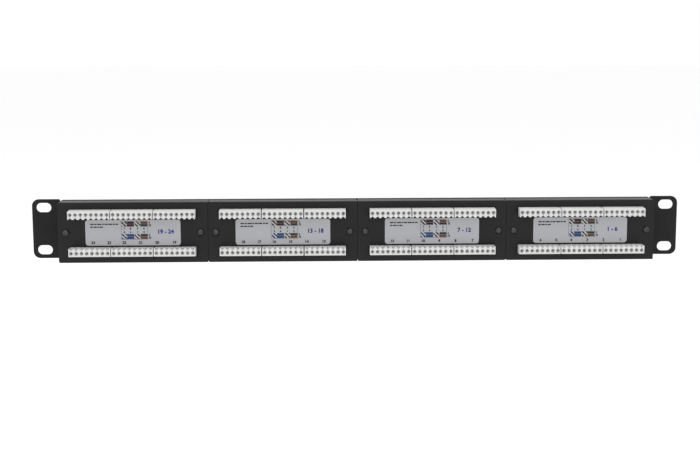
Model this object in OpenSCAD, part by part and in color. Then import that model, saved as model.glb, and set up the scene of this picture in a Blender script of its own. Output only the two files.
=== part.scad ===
// Patch panel, one rack unit high, with 24 jacks on its front and punch-down blocks on its back.
// Four six-port modules are screwed into one folded steel panel.
// +X runs from port 1 towards port 24, +Y is the punch-down side and +Z is up. The origin is the
// middle of the rack slots, on the back face of the ears.

/* [Front panel] */
// Width over both ears
panel_w = 482.6; // [480:0.2:484]
// Height of the ears
panel_h = 44.2; // [43.6:0.1:44.4]
// Thickness of the steel sheet
sheet_t = 1.5; // [1.2:0.1:1.8]
// Height over the two flanges
flange_h = 43.6; // [43.2:0.1:43.8]
// Reach of the flanges behind the plate
flange_depth = 11; // [8:0.5:11]
// Length of the flanges
flange_w = 437; // [436.4:0.2:440]
// Outside radius of the flange bends
bend_r = 2; // [1.9:0.1:2.6]
// Width of the relief notch between an ear and a flange
relief_w = 2; // [1:0.1:2.4]
// Width of the slit in the middle of each flange
slit_w = 1.2; // [0.8:0.1:2]
// Radius of the ears' outer corners
ear_corner_r = 5; // [2:0.5:8]
// Radius of the ears' inner corners
ear_inner_r = 1.2; // [0.6:0.1:2]

/* [Rack slots] */
// Distance between the left and right slots
slot_dx = 465.1; // [464:0.1:466]
// Distance between the upper and lower slots
slot_dz = 31.75; // [31:0.05:32]
// Length of a slot, end to end
slot_l = 11; // [9:0.5:12]
// Width of a slot
slot_w = 7; // [6:0.5:7]

/* [Modules] */
// Distance from one module to the next
module_pitch = 109; // [108.9:0.1:109.1]
// Gap between neighbouring covers
cover_gap = 0.15; // [0.1:0.05:0.4]
// Distance from one port to the next
port_pitch = 15.36; // [15.3:0.02:15.36]
// Distance between a module's two screws
screw_dx = 97.8; // [97.6:0.1:98.4]

/* [Covers] */
// Height of a cover
cover_h = 44.2; // [43.2:0.1:44.4]
// Distance from the back of the plate to the covers' back face
cover_back = 23; // [22:0.5:24]
// Wall of a cover
cover_wall = 1.6; // [1.4:0.1:1.8]
// Gap between the flange edge and a cover
cover_clear = 0.3; // [0.1:0.1:0.5]
// Radius of a cover's corners
cover_corner_r = 1; // [0.6:0.1:1.4]

/* [Labels] */
// Width of a wiring label
label_w = 69; // [60:1:80]
// Height of a wiring label
label_h = 18.8; // [16:0.2:19.6]
// Thickness of a wiring label
label_t = 0.25; // [0.2:0.05:0.4]
// Radius of a label's corners
label_corner_r = 2; // [1:0.5:4]

/* [Punch-down blocks] */
// Reach of the blocks behind the covers' back face
block_proud = 8.5; // [8:0.5:12]
// Distance from the middle of the panel to the blocks' inner side
block_z_in = 10.7; // [10.6:0.1:11]
// Distance from the middle of the panel to the blocks' outer side
block_z_out = 17; // [16.8:0.1:17.4]
// How much the outer side leans in over its visible height
block_lean = 0.6; // [0.3:0.1:0.8]
// Distance from the middle of the panel to the wire eyes
eye_z = 14.1; // [14:0.1:14.3]
// Radius of a wire eye at its mouth
eye_r = 1.4; // [1.2:0.05:1.45]
// Distance between neighbouring contacts of a block
contact_pitch = 3.77; // [3.74:0.01:3.8]
// Gap between neighbouring blocks
block_gap = 0.8; // [0.5:0.05:0.9]
// Width of a wire slit
wire_slit_w = 0.2; // [0.15:0.05:0.4]

/* [Jacks] */
// Height of the jacks' centre line
jack_z = -1.5; // [-3:0.1:0]
// Width of the nose that pokes through the panel
nose_w = 13; // [13:0.05:13.2]
// Height of the nose that pokes through the panel
nose_h = 12; // [12:0.1:12.4]
// How far the nose stands in front of the panel
nose_proud = 0.5; // [0.2:0.1:1.5]
// Width of the plug opening
plug_w = 11.7; // [11.7:0.05:11.9]
// Height of the plug opening above its latch channel
plug_h = 7; // [6.8:0.1:7.2]

/* [Hidden] */
$fn = 48;
MODULES = [1:4];
PORTS_PER_MODULE = 6;
PORTS_PER_BLOCK = 2;
BLOCKS_PER_ROW = 3;
CONTACTS_PER_BLOCK = 8;
WIRES_PER_JACK = 8;
ROWS = ["upper", "lower"];
EPS = 0.01;
OVERCUT = 1;

block_pitch = port_pitch * PORTS_PER_BLOCK;
row_w = block_pitch * BLOCKS_PER_ROW;
cover_w = module_pitch - cover_gap;
cover_front = flange_depth + cover_clear;

relief_depth = 0.5;

// Circuit board, seated between the jacks and the punch-down blocks
board_t = 1.6;
board_front = 13;
board_back = board_front + board_t;
board_clear = 0.5;
board_w = cover_w - 2 * (cover_wall + board_clear);
board_h = 39;
wire_hole_r = 0.3;
leg_hole_r = 0.45;
leg_past_board = 1.2;

// Screws and the standoffs that they go into
screw_hole_r = 1.45;
screw_head_r = 2.2;
screw_head_t = 1.7;
screw_rim_t = 1;
screw_top_r = 1.6;
screw_shank_r = 1.25;
screw_l = 16;
screw_recess_r = 2.4;
screw_recess = 0.3;
cross_w = 0.7;
cross_l = 2.8;
cross_depth = 1.1;
boss_r = 3;
standoff_r = 2.4;
standoff_bore_r = 1.3;
standoff_floor = 1.5;
standoff_rim = 0.4;
standoff_rim_t = 1;

// Jacks
nose_clear = 0.2;
jack_gap = 0.26;
body_w = port_pitch - jack_gap;
body_h = 14;
body_front = 0.1;
cavity_back = 11.6;
cavity_top = 4.4;
latch_w = 6.4;
latch_h = 1.4;
tab_w = 3.2;
tab_h = 1.2;
comb_w = 8.6;
comb_h = 0.5;

// Spring wires in a jack
wire_pitch = 1.02;
wire_w = 0.36;
wire_t = 0.3;
wire_roof_gap = 0.1;
wire_front = 3.2;
wire_bend = 1.2;
wire_tip_y = 9.2;
wire_tip_drop = 2.1;

// Punch-down contacts
block_tip = cover_back + block_proud;
eye_r_floor = 0.75;
eye_depth = 2.6;
slit_depth = 9;
notch_r = 1.2;
notch_out = 0.15;
point_w = 2.4;
point_reach = 1.9;
point_side = 0.6;
point_depth = 1.2;
window_clear = 0.25;
blade_w = 2.5;
blade_t = 0.5;
blade_drop = 3.2;
blade_gap = 0.35;
blade_gap_depth = 6;
blade_foot_gap = 0.2;
leg_w = 0.6;
pocket_clear = 0.15;

function module_x(m) = (m - 2.5) * module_pitch;
function port_x(m, p) = module_x(m) + (p - 3.5) * port_pitch;
function block_x(m, b) = module_x(m) + (b - 2) * block_pitch;
function contact_x(c) = (c - (CONTACTS_PER_BLOCK + 1) / 2) * contact_pitch;
function row_side(row) = row == "upper" ? 1 : -1;

function block_name(m, row, b) = str("punch_block_", m, "_", row, "_", b);

// Extrudes an outline drawn in X and Z from y = from to y = to.
module along_y(from, to) {
    translate([0, to, 0])
        rotate([90, 0, 0])
            linear_extrude(to - from)
                children();
}

// Extrudes an outline drawn in Y and Z to the given width, centred on X.
module along_x(width) {
    rotate([90, 0, 90])
        linear_extrude(width, center = true)
            children();
}

module box(size, at) {
    translate(at)
        translate(-size / 2)
            cube(size);
}

// A rod along Y.
module rod(r, from, to, r_end = 0) {
    translate([0, from, 0])
        rotate([-90, 0, 0])
            cylinder(h = to - from, r1 = r, r2 = r_end == 0 ? r : r_end);
}

module round_rect(w, h, r) {
    square([w - 2 * r, h], center = true);
    square([w, h - 2 * r], center = true);
    for (x = [-1, 1], z = [-1, 1])
        translate([x * (w / 2 - r), z * (h / 2 - r)])
            circle(r);
}

module slot_outline() {
    square([slot_l - slot_w, slot_w], center = true);
    for (x = [-1, 1])
        translate([x * (slot_l - slot_w) / 2, 0])
            circle(slot_w / 2);
}

// Copies a shape to every screw place.
module at_screws() {
    for (m = MODULES, side = [-1, 1])
        translate([module_x(m) + side * screw_dx / 2, 0, 0])
            children();
}

// One ear, on the +X side: large corners outside and small ones inside.
module ear_outline() {
    inner_x = flange_w / 2 + relief_w;
    outer_x = panel_w / 2;
    intersection() {
        union() {
            translate([inner_x, 0])
                round_rect(2 * (outer_x - inner_x), panel_h, ear_corner_r);
            translate([inner_x, -panel_h / 2])
                square([outer_x - inner_x - ear_corner_r, panel_h]);
        }
        translate([inner_x + (outer_x - inner_x) / 2, 0])
            union() {
                round_rect(outer_x - inner_x, panel_h, ear_inner_r);
                translate([ear_inner_r, 0])
                    square([outer_x - inner_x, panel_h + OVERCUT], center = true);
            }
    }
}

// Bent edge of the sheet above the plate, seen from the end.
module flange_profile() {
    centre_y = bend_r - sheet_t;
    centre_z = flange_h / 2 - bend_r;
    intersection() {
        translate([centre_y, centre_z])
            difference() {
                circle(bend_r);
                circle(bend_r - sheet_t);
            }
        translate([centre_y - bend_r, centre_z])
            square(bend_r);
    }
    translate([centre_y, flange_h / 2 - sheet_t])
        square([flange_depth - centre_y, sheet_t]);
}

module port_cutouts() {
    for (m = MODULES, p = [1:PORTS_PER_MODULE])
        translate([port_x(m, p), jack_z])
            square([nose_w + 2 * nose_clear, nose_h + 2 * nose_clear], center = true);
}

module front_panel() {
    color("#2d2d2f") {
        along_y(-sheet_t, 0)
            difference() {
                union() {
                    square([flange_w, flange_h - 2 * bend_r], center = true);
                    square([flange_w + 2 * relief_w + 2 * EPS, flange_h - 2 * (bend_r + relief_depth)],
                           center = true);
                    ear_outline();
                    mirror([1, 0])
                        ear_outline();
                }
                port_cutouts();
                for (x = [-1, 1], z = [-1, 1])
                    translate([x * slot_dx / 2, z * slot_dz / 2])
                        slot_outline();
            }
        for (side = [0, 1])
            mirror([0, 0, side])
                difference() {
                    along_x(flange_w)
                        flange_profile();
                    box([slit_w, 2 * flange_depth, 2 * bend_r],
                        [0, bend_r + flange_depth, flange_h / 2]);
                }
    }
}

// Round spacers pressed into the panel, one for each screw.
module panel_standoffs() {
    color("#b8b8ba")
        at_screws()
            difference() {
                union() {
                    rod(standoff_r, 0, board_front);
                    rod(standoff_r + standoff_rim, 0, standoff_rim_t);
                }
                rod(standoff_bore_r, standoff_floor, board_front + OVERCUT);
            }
}

module cross_recess(top) {
    for (turn = [0, 90])
        rotate([0, turn, 0])
            box([cross_l, 2 * cross_depth, cross_w], [0, top, 0]);
}

module cover_screws() {
    seat = cover_back - screw_recess;
    top = seat + screw_head_t;
    color("#3a3a3c")
        at_screws()
            difference() {
                union() {
                    rod(screw_shank_r, seat - screw_l, seat + EPS);
                    rod(screw_head_r, seat, seat + screw_rim_t);
                    rod(screw_head_r, seat + screw_rim_t, top, r_end = screw_top_r);
                }
                cross_recess(top);
            }
}

// The openings that one row of punch-down blocks comes through.
module row_window(row) {
    w = row_w + 2 * window_clear;
    h = block_z_out - block_z_in + 2 * window_clear;
    box([w, 4 * cover_wall, h], [0, cover_back, row_side(row) * (block_z_in + block_z_out) / 2]);
}

module rear_cover(m) {
    color("#2b2b2d")
        translate([module_x(m), 0, 0])
            difference() {
                union() {
                    difference() {
                        along_y(cover_front, cover_back)
                            round_rect(cover_w, cover_h, cover_corner_r);
                        along_y(cover_front - OVERCUT, cover_back - cover_wall)
                            square([cover_w - 2 * cover_wall, cover_h - 2 * cover_wall], center = true);
                    }
                    for (side = [-1, 1])
                        translate([side * screw_dx / 2, 0, 0])
                            rod(boss_r, board_back, cover_back - cover_wall + EPS);
                }
                for (row = ROWS)
                    row_window(row);
                for (side = [-1, 1])
                    translate([side * screw_dx / 2, 0, 0]) {
                        rod(screw_hole_r, board_front, cover_back + OVERCUT);
                        rod(screw_recess_r, cover_back - screw_recess, cover_back + OVERCUT);
                    }
            }
}

module circuit_board(m) {
    color("#1f5a34")
        along_y(board_front, board_back)
            difference() {
                translate([module_x(m), 0])
                    square([board_w, board_h], center = true);
                for (side = [-1, 1])
                    translate([module_x(m) + side * screw_dx / 2, 0])
                        circle(screw_hole_r);
                for (p = [1:PORTS_PER_MODULE], w = [1:WIRES_PER_JACK])
                    translate([port_x(m, p) + wire_x(w), jack_z + cavity_top - comb_h / 2])
                        circle(wire_hole_r);
                for (b = [1:BLOCKS_PER_ROW], c = [1:CONTACTS_PER_BLOCK], row = ROWS)
                    translate([block_x(m, b) + contact_x(c), row_side(row) * eye_z])
                        circle(leg_hole_r);
            }
}

module wiring_label(m) {
    color("#a6a6aa")
        along_y(cover_back, cover_back + label_t)
            translate([module_x(m), 0])
                round_rect(label_w, label_h, label_corner_r);
}

// Opening for a plug, with the two steps of its latch channel below.
module plug_outline() {
    translate([-plug_w / 2, cavity_top - plug_h])
        square([plug_w, plug_h]);
    translate([-latch_w / 2, cavity_top - plug_h - latch_h])
        square([latch_w, latch_h + EPS]);
    translate([-tab_w / 2, cavity_top - plug_h - latch_h - tab_h])
        square([tab_w, tab_h + EPS]);
}

module jack() {
    difference() {
        union() {
            box([nose_w, sheet_t + nose_proud + body_front + EPS, nose_h],
                [0, (body_front + EPS - sheet_t - nose_proud) / 2, 0]);
            box([body_w, board_front - body_front, body_h], [0, (board_front + body_front) / 2, 0]);
        }
        along_y(-sheet_t - nose_proud - OVERCUT, cavity_back)
            plug_outline();
        box([comb_w, 4 * OVERCUT, comb_h], [0, board_front, cavity_top - comb_h / 2]);
    }
}

module jacks(m) {
    color("#26262a")
        for (p = [1:PORTS_PER_MODULE])
            translate([port_x(m, p), 0, jack_z])
                jack();
}

function wire_x(w) = (w - (WIRES_PER_JACK + 1) / 2) * wire_pitch;

// One spring wire from the side: through the board, along the roof and back down into the opening.
module wire_profile() {
    roof = cavity_top - wire_roof_gap;
    polygon([
        [board_back + leg_past_board, roof],
        [wire_front, roof],
        [wire_front, roof - wire_t],
        [wire_tip_y, roof - wire_tip_drop - wire_t],
        [wire_tip_y, roof - wire_tip_drop],
        [wire_front + wire_bend, roof - wire_t],
        [board_back + leg_past_board, roof - wire_t]
    ]);
}

module jack_wires(m) {
    color("#d4af55")
        for (p = [1:PORTS_PER_MODULE], w = [1:WIRES_PER_JACK])
            translate([port_x(m, p) + wire_x(w), 0, jack_z])
                along_x(wire_w)
                    wire_profile();
}

// A forked blade that cuts through a wire's insulation, on a leg through the board.
module punch_contact() {
    top = block_tip - blade_drop;
    foot = board_back + blade_foot_gap;
    leg_end = board_front - leg_past_board;
    difference() {
        box([blade_w, top - foot, blade_t], [0, (top + foot) / 2, 0]);
        box([blade_gap, 2 * blade_gap_depth, 2 * blade_t], [0, top, 0]);
    }
    box([leg_w, foot + EPS - leg_end, blade_t], [0, (foot + EPS + leg_end) / 2, 0]);
}

module punch_contacts(m) {
    color("#c9b27a")
        for (b = [1:BLOCKS_PER_ROW], c = [1:CONTACTS_PER_BLOCK], row = ROWS)
            translate([block_x(m, b) + contact_x(c), 0, row_side(row) * eye_z])
                punch_contact();
}

// Cross-section of an upper block, its outer side leaning in above the cover.
module block_profile() {
    polygon([
        [board_back, block_z_in],
        [block_tip, block_z_in],
        [block_tip, block_z_out - block_lean],
        [cover_back, block_z_out],
        [board_back, block_z_out]
    ]);
}

// What one contact takes out of an upper block: a funnel-shaped eye that comes to a point at the
// wire slit, the slit, the round notch that leads a wire into it, and the blade's pocket.
module contact_cut() {
    translate([0, 0, eye_z])
        rod(eye_r_floor, block_tip - eye_depth, block_tip + EPS, r_end = eye_r);
    along_y(block_tip - point_depth, block_tip + OVERCUT)
        polygon([
            [-point_w / 2, eye_z - point_side],
            [point_w / 2, eye_z - point_side],
            [0, eye_z - point_reach]
        ]);
    box([wire_slit_w, 2 * slit_depth, eye_z + eye_r_floor - block_z_in + OVERCUT],
        [0, block_tip, (eye_z + eye_r_floor + block_z_in - OVERCUT) / 2]);
    translate([0, 0, block_z_in - notch_out])
        rod(notch_r, cover_back, block_tip + OVERCUT);
    box([blade_w + 2 * pocket_clear, block_tip - eye_depth - board_back + OVERCUT,
         blade_t + 2 * pocket_clear],
        [0, (block_tip - eye_depth + board_back - OVERCUT) / 2, eye_z]);
}

module punch_block(m, row, b) {
    color("#e8e6e0")
        mirror([0, 0, row == "lower" ? 1 : 0])
            translate([block_x(m, b), 0, 0])
                difference() {
                    along_x(block_pitch - block_gap)
                        block_profile();
                    for (c = [1:CONTACTS_PER_BLOCK])
                        translate([contact_x(c), 0, 0])
                            contact_cut();
                }
}

front_panel();
panel_standoffs();
cover_screws();
for (m = MODULES) {
    rear_cover(m);
    circuit_board(m);
    wiring_label(m);
    jacks(m);
    jack_wires(m);
    punch_contacts(m);
    for (row = ROWS, b = [1:BLOCKS_PER_ROW])
        punch_block(m, row, b);
}
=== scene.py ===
# %% [markdown]
# # A 24-port patch panel, seen from its punch-down side
# The CAD model already holds every part at its true size, so this file adds what CAD leaves out:
# rounded edges, printed labels, finishes, and a plain studio. Everything is in metres, in the CAD
# model's own frame: +X runs towards port 24, +Y is the punch-down side and +Z is up.

import math

import bpy
from mathutils import Matrix, Vector


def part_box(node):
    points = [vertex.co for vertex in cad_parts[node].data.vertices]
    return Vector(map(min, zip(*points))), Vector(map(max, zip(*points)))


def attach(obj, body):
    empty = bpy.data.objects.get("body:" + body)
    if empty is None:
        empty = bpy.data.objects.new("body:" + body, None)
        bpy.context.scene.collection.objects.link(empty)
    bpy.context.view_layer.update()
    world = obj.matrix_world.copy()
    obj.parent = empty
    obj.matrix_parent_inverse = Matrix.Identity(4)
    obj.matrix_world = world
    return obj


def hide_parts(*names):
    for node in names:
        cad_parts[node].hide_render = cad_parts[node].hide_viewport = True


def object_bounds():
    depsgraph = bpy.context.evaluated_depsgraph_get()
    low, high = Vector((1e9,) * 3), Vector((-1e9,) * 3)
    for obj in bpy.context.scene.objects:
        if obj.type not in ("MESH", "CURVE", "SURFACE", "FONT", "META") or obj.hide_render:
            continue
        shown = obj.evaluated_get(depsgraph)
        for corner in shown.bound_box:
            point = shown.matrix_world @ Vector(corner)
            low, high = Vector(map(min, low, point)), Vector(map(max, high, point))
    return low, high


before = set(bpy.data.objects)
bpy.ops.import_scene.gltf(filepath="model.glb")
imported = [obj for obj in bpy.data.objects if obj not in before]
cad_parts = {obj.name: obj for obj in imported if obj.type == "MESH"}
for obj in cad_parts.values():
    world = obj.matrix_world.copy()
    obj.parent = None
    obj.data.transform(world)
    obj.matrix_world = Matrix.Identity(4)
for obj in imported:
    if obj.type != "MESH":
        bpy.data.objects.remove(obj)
cad_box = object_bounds()
MM = 0.001
print("CAD box in mm:", [[round(v / MM, 1) for v in corner] for corner in cad_box])

# %% [markdown]
# ## Names and places
# The panel is four equal modules of six ports, and each module has two rows of three punch-down
# blocks. Their places could be typed in again here. They are read from the CAD nodes instead, so
# that a change to the CAD model moves everything drawn here with it.

# %% Modules, rows and blocks
MODULES = (1, 2, 3, 4)
ROWS = ("upper", "lower")
BLOCKS = (1, 2, 3)
PORTS_PER_MODULE = 6


def middle(node):
    low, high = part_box(node)
    return (low + high) / 2


module_x = {m: middle(f"rear_cover_{m}").x for m in MODULES}
block_pitch = middle("punch_block_1_upper_2").x - middle("punch_block_1_upper_1").x
port_pitch = block_pitch * len(BLOCKS) / PORTS_PER_MODULE
print("modules at", {m: round(x / MM, 1) for m, x in module_x.items()})
print("port pitch", round(port_pitch / MM, 2), "mm")

# %% [markdown]
# ## Colours and nodes
# Colours are written as the hex values that a paint chart would give. Blender's shaders work in
# linear light, so one function converts them. A second one adds a shader node, sets what it is
# given and makes its links, which keeps each material short enough to read in one look.


# %% Two helpers for materials
def linear(hex_colour):
    """Follows the sRGB standard's curve: a straight line near black and a power of 2.4 above it."""
    parts = [int(hex_colour[i:i + 2], 16) / 255 for i in (1, 3, 5)]
    return [p / 12.92 if p <= 0.04045 else ((p + 0.055) / 1.055) ** 2.4 for p in parts] + [1.0]


def add(tree, kind, settings=None, links=None):
    node = tree.nodes.new(kind)
    for name, value in (settings or {}).items():
        if name in node.inputs:
            node.inputs[name].default_value = value
        else:
            setattr(node, name, value)
    for socket, source in (links or {}).items():
        tree.links.new(source, node.inputs[socket])
    return node


# %% [markdown]
# ## A grained surface
# Nearly every finish here is a colour with a fine, even texture: powder coat has orange peel,
# moulded plastic copies its tool's spark-eroded grain, and printed film has a faint mottle. Each
# could have a node tree of its own, but they differ only in their values, so one function makes
# them all. It mixes a fine noise, the grain, with a wide one, the cloud, and the mix tints the
# colour and varies the gloss. The grain also lifts the surface, as the real texture does.

# %% The grained surface
GRAIN_DETAIL = 3.0
GRAIN_ROUGHNESS = 0.55
CLOUD_DETAIL = 2.0
CLOUD_MM = 12
EVEN_MIX = 0.5
USUAL_SPECULAR = 0.5
# A Mix node keeps its colour sockets behind the ones for numbers, under the same names.
COLOUR_A = 6
COLOUR_B = 7
COLOUR_RESULT = 2


def grained(name, dark, light, grain_mm, height_mm, rough, cloud_mm=CLOUD_MM,
            specular=USUAL_SPECULAR, **shader):
    """grain_mm and cloud_mm are the sizes of the two noises, height_mm is how far the grain stands
    up, rough is the lowest and the highest roughness, and shader holds values for other sockets."""
    material = bpy.data.materials.new(name)
    material.use_nodes = True
    tree = material.node_tree
    tree.nodes.clear()
    place = add(tree, "ShaderNodeTexCoord").outputs["Object"]
    grain = add(tree, "ShaderNodeTexNoise",
                {"Scale": 1 / (grain_mm * MM), "Detail": GRAIN_DETAIL,
                 "Roughness": GRAIN_ROUGHNESS}, {"Vector": place})
    cloud = add(tree, "ShaderNodeTexNoise",
                {"Scale": 1 / (cloud_mm * MM), "Detail": CLOUD_DETAIL}, {"Vector": place})
    blend = add(tree, "ShaderNodeMix", {"data_type": "FLOAT", "Factor": EVEN_MIX},
                {"A": grain.outputs["Fac"], "B": cloud.outputs["Fac"]})
    colour = add(tree, "ShaderNodeMix", {"data_type": "RGBA"}, {"Factor": blend.outputs["Result"]})
    colour.inputs[COLOUR_A].default_value = linear(dark)
    colour.inputs[COLOUR_B].default_value = linear(light)
    gloss = add(tree, "ShaderNodeMapRange", {"To Min": rough[0], "To Max": rough[1]},
                {"Value": blend.outputs["Result"]})
    bump = add(tree, "ShaderNodeBump", {"Distance": height_mm * MM, "Strength": 1.0},
               {"Height": grain.outputs["Fac"]})
    surface = add(tree, "ShaderNodeBsdfPrincipled", {"Specular IOR Level": specular, **shader},
                  {"Base Color": colour.outputs[COLOUR_RESULT],
                   "Roughness": gloss.outputs["Result"], "Normal": bump.outputs["Normal"]})
    add(tree, "ShaderNodeOutputMaterial", links={"Surface": surface.outputs["BSDF"]})
    material.diffuse_color = linear(light)
    return material


# %% [markdown]
# ## Paint, plastic and film
# Each finish is named for the real thing. Powder coat is a baked paint with a fine orange peel and
# a low sheen. The covers are black ABS from a lightly textured tool. The jacks are black PBT, which
# is glossier and smoother, and the punch-down blocks are white polycarbonate. Solder mask is the
# green lacquer of a circuit board, and the labels are a silver-grey film. The black finishes have
# a lower specular level than usual, because their texture keeps them from mirroring the sky.

# %% Finishes that aren't metal
powder_coat = grained("black_powder_coat", "#1a1a1b", "#28282a", grain_mm=0.7, height_mm=0.05,
                      rough=(0.56, 0.74), specular=0.16, IOR=1.5)
black_abs = grained("black_textured_abs", "#101012", "#18181a", grain_mm=0.6, height_mm=0.03,
                    rough=(0.36, 0.52), specular=0.24, IOR=1.53)
black_pbt = grained("black_smooth_pbt", "#1b1b1d", "#242427", grain_mm=0.8, height_mm=0.006,
                    rough=(0.25, 0.36), specular=0.3, IOR=1.55)
white_pc = grained("white_polycarbonate", "#cbcbca", "#d6d6d5", grain_mm=1.2, height_mm=0.006,
                   rough=(0.32, 0.45), IOR=1.58)
solder_mask = grained("green_solder_mask", "#124a2a", "#1b6238", grain_mm=0.9, height_mm=0.01,
                      rough=(0.25, 0.35), IOR=1.5)
label_film = grained("silver_grey_film", "#a6a7ab", "#afafb3", grain_mm=0.25, height_mm=0.002,
                     rough=(0.14, 0.2), cloud_mm=20, IOR=1.5)
print("finishes:", powder_coat.name, black_abs.name, black_pbt.name, white_pc.name,
      solder_mask.name, label_film.name)

# %% [markdown]
# ## Metals
# A metal takes its colour from its reflections, so these have the shader's metallic value at 1.
# The cover screws are steel with black zinc and the standoffs have bright zinc. The jack wires are
# bronze plated with gold, and the punch-down contacts are bronze plated with tin. Plating varies
# over a millimetre or two, so the cloud is smaller than on plastic.

# %% Metal finishes
METAL = {"cloud_mm": 2, "Metallic": 1.0}
black_zinc = grained("black_zinc_steel", "#4a4a4e", "#626266", grain_mm=0.4, height_mm=0.01,
                     rough=(0.3, 0.5), **METAL)
bright_zinc = grained("bright_zinc_steel", "#a4a5a8", "#c2c3c6", grain_mm=0.4, height_mm=0.008,
                      rough=(0.28, 0.45), **METAL)
gold = grained("gold_plated_bronze", "#c79a45", "#e0bb68", grain_mm=0.3, height_mm=0.003,
               rough=(0.18, 0.3), **METAL)
tin = grained("tin_plated_bronze", "#a6a4a0", "#c2bfba", grain_mm=0.3, height_mm=0.006,
              rough=(0.35, 0.55), **METAL)
print("metals:", black_zinc.name, bright_zinc.name, gold.name, tin.name)

# %% [markdown]
# ## Selecting in code
# Blender's operators act on whatever is selected, so every step starts from nothing selected and
# then picks its one object. The small functions here do that, merge points that lie in the same
# place, and give a finished piece its material and the body it rides on.

# %% Selection and finishing helpers
MERGE_MM = 0.002


def only(piece):
    bpy.ops.object.select_all(action="DESELECT")
    piece.select_set(True)
    bpy.context.view_layer.objects.active = piece


def merge_points():
    """Works on the mesh that is in edit mode."""
    bpy.ops.mesh.select_all(action="SELECT")
    bpy.ops.mesh.remove_doubles(threshold=MERGE_MM * MM)


def finish(piece, material, slot, *stands_for):
    """stands_for names the CAD nodes that the piece replaces."""
    if material is not None:
        piece.data.materials.clear()
        piece.data.materials.append(material)
    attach(piece, "root")
    if stands_for:
        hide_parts(*stands_for)


# %% [markdown]
# ## Rounded edges
# A real moulding or folded sheet never has a perfectly sharp edge: it has a small radius, which
# catches a thin line of light. The CAD parts are sharp. They could be modelled again with rounded
# edges, but their shapes are already right, so the large ones that show are copied, their loose
# triangles are merged back into whole faces, and a Bevel modifier rounds the edges that turn by
# more than 30 degrees. With its overlaps clamped, the bevel can't close the narrow slits.

# %% Copy a CAD part with rounded edges
FLAT_ANGLE = math.radians(0.5)
EDGE_ANGLE = math.radians(30)
SMOOTH_ANGLE = math.radians(35)
BEVEL_SEGMENTS = 2


def rounded_copy(node, name, radius_mm):
    """The copy is a piece of its own, so it drops the marks and the parent of the CAD node."""
    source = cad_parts[node]
    piece = source.copy()
    piece.data = source.data.copy()
    piece.name = name
    piece.data.name = name
    for key in list(piece.keys()):
        del piece[key]
    piece.parent = None
    bpy.context.scene.collection.objects.link(piece)
    only(piece)
    bpy.ops.object.mode_set(mode="EDIT")
    merge_points()
    bpy.ops.mesh.dissolve_limited(angle_limit=FLAT_ANGLE)
    bpy.ops.object.mode_set(mode="OBJECT")
    bevel = piece.modifiers.new("Bevel", "BEVEL")
    bevel.width = radius_mm * MM
    bevel.segments = BEVEL_SEGMENTS
    bevel.limit_method = "ANGLE"
    bevel.angle_limit = EDGE_ANGLE
    bevel.use_clamp_overlap = True
    bpy.ops.object.modifier_apply(modifier=bevel.name)
    bpy.ops.object.shade_smooth_by_angle(angle=SMOOTH_ANGLE)
    return piece


def moved_copy(piece, name, offset):
    """The copy has its own mesh, and its place is in that mesh."""
    twin = piece.copy()
    twin.data = piece.data.copy()
    twin.name = name
    twin.data.name = name
    twin.data.transform(Matrix.Translation(offset))
    bpy.context.scene.collection.objects.link(twin)
    return twin


# %% [markdown]
# ## The folded panel
# The front is one sheet of 1.5 mm steel, punched, folded into a shallow channel and powder coated.
# Its cut edges are dulled by tumbling and then by the coat, so a small radius runs round the ears,
# the slots and the flange ends.

# %% Round the panel and paint it
PANEL_RADIUS_MM = 0.25
panel = rounded_copy("front_panel", "panel_sheet", PANEL_RADIUS_MM)
finish(panel, powder_coat, "panel_steel", "front_panel")
print("panel faces:", len(panel.data.polygons))

# %% [markdown]
# ## The rear covers
# A cover is a shallow moulded box with two long windows, which the punch-down blocks come through.
# All four come from one tool, so one is rounded and the others are copies of it, which is quicker
# than rounding each one and keeps them the same.

# %% Round one cover and copy it
COVER_RADIUS_MM = 0.15
cover = rounded_copy("rear_cover_1", "cover_1", COVER_RADIUS_MM)
covers = {1: cover}
for m in MODULES[1:]:
    covers[m] = moved_copy(cover, f"cover_{m}", Vector((module_x[m] - module_x[1], 0, 0)))
for m, piece in covers.items():
    finish(piece, black_abs, "cover_plastic", f"rear_cover_{m}")
print("cover faces:", len(cover.data.polygons))

# %% [markdown]
# ## The punch-down blocks
# Each block holds eight contacts. A tool pushes a wire through a notch and into an eye, down onto
# the contact's blade. A lower block is an upper one turned over, so that both rows offer their
# notches to the label between them. The first block of each row is rounded, and the rest are
# copies of those two.

# %% Round one block of each row and copy it along
BLOCK_RADIUS_MM = 0.12
for row in ROWS:
    first = rounded_copy(f"punch_block_1_{row}_1", f"block_1_{row}_1", BLOCK_RADIUS_MM)
    start = middle(f"punch_block_1_{row}_1")
    for m in MODULES:
        for b in BLOCKS:
            node = f"punch_block_{m}_{row}_{b}"
            name = f"block_{m}_{row}_{b}"
            piece = first if name == first.name else moved_copy(first, name, middle(node) - start)
            finish(piece, white_pc, "block_plastic", node)
    print(row, "block faces:", len(first.data.polygons))

# %% [markdown]
# ## The parts that keep their CAD shape
# Boards, labels, standoffs, jacks, wires, contacts and screws are small or mostly hidden. Their
# CAD meshes are already right, and a radius on them would hardly show, so they only take their
# finish.

# %% Finish the other CAD parts
plain_finishes = {"panel_standoffs": bright_zinc, "cover_screws": black_zinc}
for m in MODULES:
    plain_finishes[f"circuit_board_{m}"] = solder_mask
    plain_finishes[f"wiring_label_{m}"] = label_film
    plain_finishes[f"jacks_{m}"] = black_pbt
    plain_finishes[f"jack_wires_{m}"] = gold
    plain_finishes[f"punch_contacts_{m}"] = tin
for node, material in plain_finishes.items():
    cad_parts[node].data.materials.clear()
    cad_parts[node].data.materials.append(material)
print("CAD parts kept:", len(plain_finishes))

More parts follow.
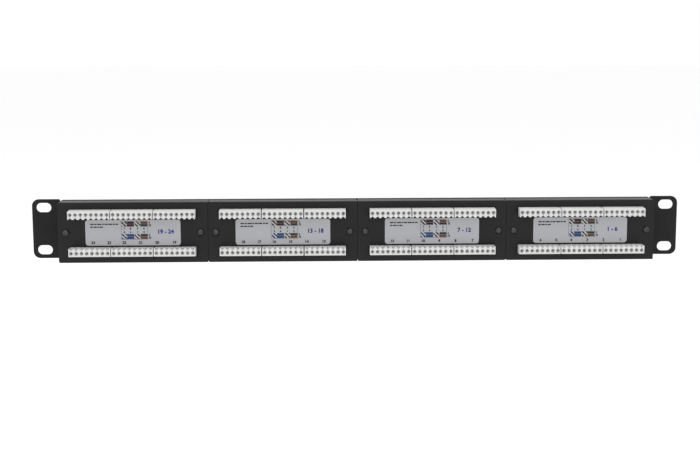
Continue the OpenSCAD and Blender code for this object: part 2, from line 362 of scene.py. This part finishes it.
# %% [markdown]
# ## Striped inks
# A wire pair has one wire in a plain colour and one in white with a stripe of that colour, called
# a tracer. The cell that stands for a tracer wire is printed in slanting stripes. They could be
# narrow bars cut to the cell's outline, but a wave texture gives them in one step: turned by 45
# degrees and cut off hard by a colour ramp, it picks between the wire's colour and white.

# %% The striped ink
INK_SPECULAR = 0.12
STRIPE_ROUGHNESS = 0.4
STRIPE_TURN = math.radians(-45)
STRIPE_MM = 1.0
STRIPE_WHITE = "#c6c6c9"
WHITE_STARTS = 0.68  # height of the wave, from 0 to 1, above which it is white
WAVE_RADIANS = 20  # how far a wave texture turns over one unit of length at scale 1


def striped(name, colour):
    """Half a wave is STRIPE_MM long."""
    material = bpy.data.materials.new(name)
    material.use_nodes = True
    tree = material.node_tree
    tree.nodes.clear()
    place = add(tree, "ShaderNodeTexCoord").outputs["Object"]
    turned = add(tree, "ShaderNodeMapping", {"Rotation": (0, STRIPE_TURN, 0)}, {"Vector": place})
    scale = math.pi / (WAVE_RADIANS * STRIPE_MM * MM)
    wave = add(tree, "ShaderNodeTexWave", {"bands_direction": "X", "Scale": scale},
               {"Vector": turned.outputs["Vector"]})
    edge = add(tree, "ShaderNodeValToRGB", links={"Fac": wave.outputs["Fac"]})
    edge.color_ramp.interpolation = "CONSTANT"
    edge.color_ramp.elements[0].color = linear(colour)
    edge.color_ramp.elements[1].position = WHITE_STARTS
    edge.color_ramp.elements[1].color = linear(STRIPE_WHITE)
    surface = add(tree, "ShaderNodeBsdfPrincipled",
                  {"Roughness": STRIPE_ROUGHNESS, "Specular IOR Level": INK_SPECULAR},
                  {"Base Color": edge.outputs["Color"]})
    add(tree, "ShaderNodeOutputMaterial", links={"Surface": surface.outputs["BSDF"]})
    return material


# %% [markdown]
# ## Printing inks
# Print is a film of ink a few hundredths of a millimetre thick. Its pigment makes it duller than
# the film under it, so the inks have a low specular level, and each has a darker and a lighter
# shade, as a press never lays ink down quite evenly.

# %% Inks
INK_GRAIN = {"grain_mm": 0.3, "height_mm": 0.002}
WIRE_INKS = {"brown": ("#32201f", "#3e2927"), "orange": ("#603c2f", "#6f4535"),
             "green": ("#27372e", "#304137"), "blue": ("#264063", "#2f4a79")}
WORD_INKS = {"black": ("#1e1e20", "#2a2a2d"), "indigo": ("#1b2a7c", "#24338e")}

inks = {}
for name, (dark, light) in (WIRE_INKS | WORD_INKS).items():
    inks[name] = grained(f"ink_{name}", dark, light, rough=(0.35, 0.45), specular=INK_SPECULAR,
                         **INK_GRAIN)
inks["white"] = grained("ink_white", "#e2e2e0", "#ececea", rough=(0.4, 0.5), **INK_GRAIN)
tracers = {name: striped(f"ink_{name}_tracer", shades[0]) for name, shades in WIRE_INKS.items()}
print("inks:", len(inks) + len(tracers))

# %% [markdown]
# ## Printing on a face
# Print could be painted into the label's material with masks, but very thin solids are easier to
# place and keep crisp edges at any distance. Each is given by its place as it is read: across to
# the right and up. Seen from behind, right is towards -X, so that face turns the drawing round.

# %% Faces, and placing a drawing on one
INK_MM = 0.03
# y is where the face is, out is the way along Y that it faces, and turn faces a drawing that way.
BACK_FACE = {"y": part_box("wiring_label_1")[1].y, "out": 1, "turn": math.pi}
FRONT_FACE = {"y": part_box("front_panel")[0].y, "out": -1, "turn": 0}
UPRIGHT = Matrix.Rotation(math.radians(90), 4, "X")
print("label face at", round(BACK_FACE["y"] / MM, 2), "mm")
print("front face at", round(FRONT_FACE["y"] / MM, 2), "mm")


def printed(piece, face, centre_x, across, height, material):
    """Moves a drawing made flat on the XY plane onto a face, applies its place and inks it."""
    facing = Matrix.Rotation(face["turn"], 4, "Z") @ UPRIGHT
    place = Vector((centre_x - face["out"] * across * MM,
                    face["y"] + face["out"] * INK_MM / 2 * MM, height * MM))
    piece.matrix_world = Matrix.Translation(place) @ facing @ piece.matrix_world
    only(piece)
    bpy.ops.object.transform_apply(location=True, rotation=True, scale=True)
    piece.data.materials.clear()
    piece.data.materials.append(material)
    return piece


# %% [markdown]
# ## Bars and figures
# A bar is a cube scaled flat, placed by its lower left corner. Figures are a text object, given a
# little depth and made into a mesh, and placed by their middle. The many small solids of one print
# are joined into one piece, as one pass of the press lays them all down.

# %% Bars, figures and joining
CAP_SHARE = 0.69  # height of a figure as a share of the font's size
FIGURE_STEPS = 4  # straight steps in each curve of a figure


def bar(face, centre_x, left, low, wide, tall, material):
    bpy.ops.object.select_all(action="DESELECT")
    bpy.ops.mesh.primitive_cube_add(size=1, scale=(wide * MM, tall * MM, INK_MM * MM))
    return printed(bpy.context.object, face, centre_x, left + wide / 2, low + tall / 2, material)


def figures(face, centre_x, words, across, height, cap_mm, heavy_mm, material):
    """cap_mm is the height of the figures, and heavy_mm is how much their outline is thickened."""
    bpy.ops.object.select_all(action="DESELECT")
    bpy.ops.object.text_add()
    text = bpy.context.object.data
    text.body = words
    text.size = cap_mm / CAP_SHARE * MM
    text.align_x = "CENTER"
    text.align_y = "CENTER"
    text.extrude = INK_MM / 2 * MM
    text.offset = heavy_mm * MM
    text.resolution_u = FIGURE_STEPS
    bpy.ops.object.convert(target="MESH")
    bpy.ops.object.mode_set(mode="EDIT")
    merge_points()
    bpy.ops.object.mode_set(mode="OBJECT")
    return printed(bpy.context.object, face, centre_x, across, height, material)


def joined(pieces, name):
    only(pieces[0])
    for piece in pieces:
        piece.select_set(True)
    bpy.ops.object.join()
    pieces[0].name = name
    pieces[0].data.name = name
    return pieces[0]


# %% [markdown]
# ## The wiring diagram
# Each label shows which wire goes to which contact. Four columns of cells stand for the upper
# row of contacts and four for the lower row, and the first and third columns are tracer wires.
# Every row is printed twice, for the two usual orders of the pairs, with one tick and two ticks at
# its end to tell them apart. The pin numbers lie between the rows. All places are in millimetres
# from the middle of the module.

# %% Cells, pin numbers and ticks
CELL_LEFT = (-8.1, -4.4, 1.2, 5.5)
CELL_WIDE = (3.6, 5.2, 4.1, 5.0)
CELL_TALL = 1.75
TRACER_COLUMNS = (0, 2)
ROW_LOW = {"upper": (6.4, 4.5), "lower": (-2.75, -4.65)}
PAIRS = {"upper": (("brown", "brown", "orange", "orange"), ("brown", "brown", "green", "green")),
         "lower": (("blue", "blue", "green", "green"), ("blue", "blue", "orange", "orange"))}
PIN_NUMBERS = {"upper": "7836", "lower": "5412"}
PIN_HEIGHT = {"upper": 3.0, "lower": 0.3}
PIN_CAP = 1.4
PIN_HEAVY = 0.1
TICK_LEFT = 11.6
TICK_STEP = 0.95
TICK_WIDE = 0.55


def cells(x, row):
    pieces = []
    for low, wires in zip(ROW_LOW[row], PAIRS[row]):
        for column, colour in enumerate(wires):
            ink = tracers[colour] if column in TRACER_COLUMNS else inks[colour]
            pieces.append(bar(BACK_FACE, x, CELL_LEFT[column], low, CELL_WIDE[column],
                              CELL_TALL, ink))
    return pieces


def pin_numbers(x, row):
    pieces = []
    for left, wide, pin in zip(CELL_LEFT, CELL_WIDE, PIN_NUMBERS[row]):
        pieces.append(figures(BACK_FACE, x, pin, left + wide / 2, PIN_HEIGHT[row], PIN_CAP,
                              PIN_HEAVY, inks["black"]))
    return pieces


def ticks(x, row):
    pieces = []
    for count, low in enumerate(ROW_LOW[row], start=1):
        for tick in range(count):
            pieces.append(bar(BACK_FACE, x, TICK_LEFT + TICK_STEP * tick, low, TICK_WIDE,
                              CELL_TALL, inks["black"]))
    return pieces


# %% [markdown]
# ## Frame and small print
# A thin line frames the cells. The two lines of small print to the left of it are too small to
# read, so each word is a plain bar. Module 1's diagram is drawn once, and every label takes a copy
# of it, because drawing each one again would give the same shapes more slowly.

# %% One whole diagram
FRAME_LEFT = -8.6
FRAME_RIGHT = 10.8
FRAME_LOW = -4.8
FRAME_HIGH = 8.3
FRAME_LINE = 0.18
# Each line of small print is its height and the widths of its words.
SMALL_PRINT = ((5.8, (2.6, 1.7, 3.1, 1.2, 2.2, 2.9, 1.5, 1.9)), (3.7, (1.9, 2.4, 1.3, 2.2)))
SMALL_PRINT_LEFT = -30.9
SMALL_PRINT_TALL = 0.9
WORD_GAP = 0.45


def thin_frame(x):
    wide = FRAME_RIGHT - FRAME_LEFT
    tall = FRAME_HIGH - FRAME_LOW
    sides = ((FRAME_LEFT, FRAME_LOW - FRAME_LINE, wide, FRAME_LINE),
             (FRAME_LEFT, FRAME_HIGH, wide, FRAME_LINE),
             (FRAME_LEFT, FRAME_LOW, FRAME_LINE, tall),
             (FRAME_RIGHT - FRAME_LINE, FRAME_LOW, FRAME_LINE, tall))
    return [bar(BACK_FACE, x, *side, inks["black"]) for side in sides]


def small_print(x):
    pieces = []
    for low, words in SMALL_PRINT:
        left = SMALL_PRINT_LEFT
        for wide in words:
            pieces.append(bar(BACK_FACE, x, left, low, wide, SMALL_PRINT_TALL, inks["black"]))
            left += wide + WORD_GAP
    return pieces


def diagram(x):
    pieces = []
    for row in ROWS:
        pieces += cells(x, row) + pin_numbers(x, row) + ticks(x, row)
    return joined(pieces + thin_frame(x) + small_print(x), "diagram")


first_diagram = diagram(module_x[1])
print("diagram faces:", len(first_diagram.data.polygons))

# %% [markdown]
# ## Port numbers on the labels
# Ports count from right to left as the label is read, because the back shows the panel the other
# way round. The range of the module's ports is printed larger, in indigo. With the diagram, they
# make one piece on each label.

# %% Print for each label
NUMBER_ACROSS = (-29.1, -17.5, -6.5, 5.4, 17.3, 29.8)
NUMBER_HEIGHT = -7.4
NUMBER_CAP = 1.9
NUMBER_HEAVY = 0.14
RANGE_ACROSS = 23.6
RANGE_HEIGHT = 0.5
RANGE_CAP = 2.9
RANGE_HEAVY = 0.17

for m in MODULES:
    x = module_x[m]
    last = m * PORTS_PER_MODULE
    pieces = [moved_copy(first_diagram, f"diagram_{m}", Vector((x - module_x[1], 0, 0)))]
    for step, across in enumerate(NUMBER_ACROSS):
        pieces.append(figures(BACK_FACE, x, str(last - step), across, NUMBER_HEIGHT, NUMBER_CAP,
                              NUMBER_HEAVY, inks["black"]))
    words = f"{last - PORTS_PER_MODULE + 1} - {last}"
    pieces.append(figures(BACK_FACE, x, words, RANGE_ACROSS, RANGE_HEIGHT, RANGE_CAP,
                          RANGE_HEAVY, inks["indigo"]))
    finish(joined(pieces, f"label_print_{m}"), None, "label_foil")
    print("label", m, "shows ports", words)
bpy.data.objects.remove(first_diagram)

# %% [markdown]
# ## Print on the front
# The front carries what any patch panel needs in use: a number over each port, and above it a
# white field to write on. Both are screen printed on the powder coat, so they are made of the same
# thin solids as the labels' print.

# %% Port numbers and write-on fields
FRONT_CAP = 2.6
FRONT_HEAVY = 0.06
FRONT_NUMBER_HEIGHT = 8.2
FIELD_LOW = 11.4
FIELD_TALL = 6.4
FIELD_GAP = 0.8
pitch_mm = port_pitch / MM
field_wide = pitch_mm - FIELD_GAP

for m in MODULES:
    x = module_x[m]
    pieces = []
    for step in range(PORTS_PER_MODULE):
        across = (step - (PORTS_PER_MODULE - 1) / 2) * pitch_mm
        number = str((m - 1) * PORTS_PER_MODULE + step + 1)
        pieces.append(figures(FRONT_FACE, x, number, across, FRONT_NUMBER_HEIGHT, FRONT_CAP,
                              FRONT_HEAVY, inks["white"]))
        pieces.append(bar(FRONT_FACE, x, across - field_wide / 2, FIELD_LOW, field_wide,
                          FIELD_TALL, inks["white"]))
    finish(joined(pieces, f"front_print_{m}"), None, "panel_steel")
print("write-on field", round(field_wide, 2), "by", FIELD_TALL, "mm")

# %% [markdown]
# ## The floor
# The floor is a very wide sheet of pale paper, so that its edges are never seen. The ears hold a
# patch panel in its rack, so the floor is well below it, and throws light back up onto its lower
# parts.

# %% Floor
FLOOR_DROP = 0.15
FLOOR_SIZE = 60
lowest_z = cad_box[0][2]
bpy.ops.object.select_all(action="DESELECT")
bpy.ops.mesh.primitive_plane_add(size=FLOOR_SIZE, location=(0, 0, lowest_z - FLOOR_DROP))
floor = bpy.context.object
floor.name = "floor"
floor.data.materials.append(grained("matt_white_paper", "#fbfbfb", "#ffffff", grain_mm=3,
                                    height_mm=0.01, rough=(0.8, 0.9)))
print("floor at", round((lowest_z - FLOOR_DROP) / MM, 1), "mm")

# %% [markdown]
# ## Sky and lamp
# The sky is plain white, so shadows stay soft and shiny parts reflect an even surround, as in a
# light tent. One large lamp above, behind the panel, makes the upward faces brighter than the
# rest.

# %% Sky and lamp
SKY_COLOUR = (1, 1, 1, 1)
SKY_STRENGTH = 1.0
LAMP_PLACE = Vector((0, 0.25, 1.4))
LAMP_AIM = Vector((0, 0, 0))
LAMP_SIZE = 1.6
LAMP_WATTS = 8

world = bpy.data.worlds.new("white_sky")
bpy.context.scene.world = world
world.use_nodes = True
sky = world.node_tree.nodes["Background"]
sky.inputs["Color"].default_value = SKY_COLOUR
sky.inputs["Strength"].default_value = SKY_STRENGTH

bpy.ops.object.select_all(action="DESELECT")
bpy.ops.object.light_add(type="AREA", location=LAMP_PLACE)
lamp = bpy.context.object
lamp.name = "top_lamp"
lamp.data.size = LAMP_SIZE
lamp.data.energy = LAMP_WATTS
lamp.rotation_euler = (LAMP_AIM - LAMP_PLACE).to_track_quat("-Z", "Y").to_euler()
print("lamp", round((LAMP_AIM - LAMP_PLACE).length, 2), "m from the panel")

# %% [markdown]
# ## The camera
# The panel is seen from about 0.94 m behind it, 8 degrees above, and a little to the port 24 side.
# A camera could be turned by three angles, but it is easier to follow when its own three
# directions, right, up and back, are worked out and set as the columns of a matrix.

# %% Camera
CAMERA_DISTANCE = 0.936
CAMERA_RISE = math.radians(8.14)
CAMERA_SWING = math.radians(1.42)
CAMERA_ROLL = math.radians(-0.15)
CAMERA_TARGET = Vector((0.00498, 0, -0.00455))
SENSOR_MM = 36.0
LENS_MM = 64.1931

back = Vector((math.sin(CAMERA_SWING) * math.cos(CAMERA_RISE),
               math.cos(CAMERA_SWING) * math.cos(CAMERA_RISE), math.sin(CAMERA_RISE)))
level = Vector((0, 0, 1)).cross(back).normalized()
right = level * math.cos(CAMERA_ROLL) + back.cross(level) * math.sin(CAMERA_ROLL)
up = back.cross(right)
turn = Matrix((right, up, back)).transposed().to_4x4()

camera_data = bpy.data.cameras.new("camera")
camera_data.sensor_width = SENSOR_MM
camera_data.lens = LENS_MM
camera = bpy.data.objects.new("camera", camera_data)
bpy.context.scene.collection.objects.link(camera)
camera.matrix_world = Matrix.Translation(CAMERA_TARGET + CAMERA_DISTANCE * back) @ turn
bpy.context.scene.camera = camera
bpy.context.scene.view_settings.view_transform = "Standard"
print("camera at", [round(v, 3) for v in camera.matrix_world.translation], "m")
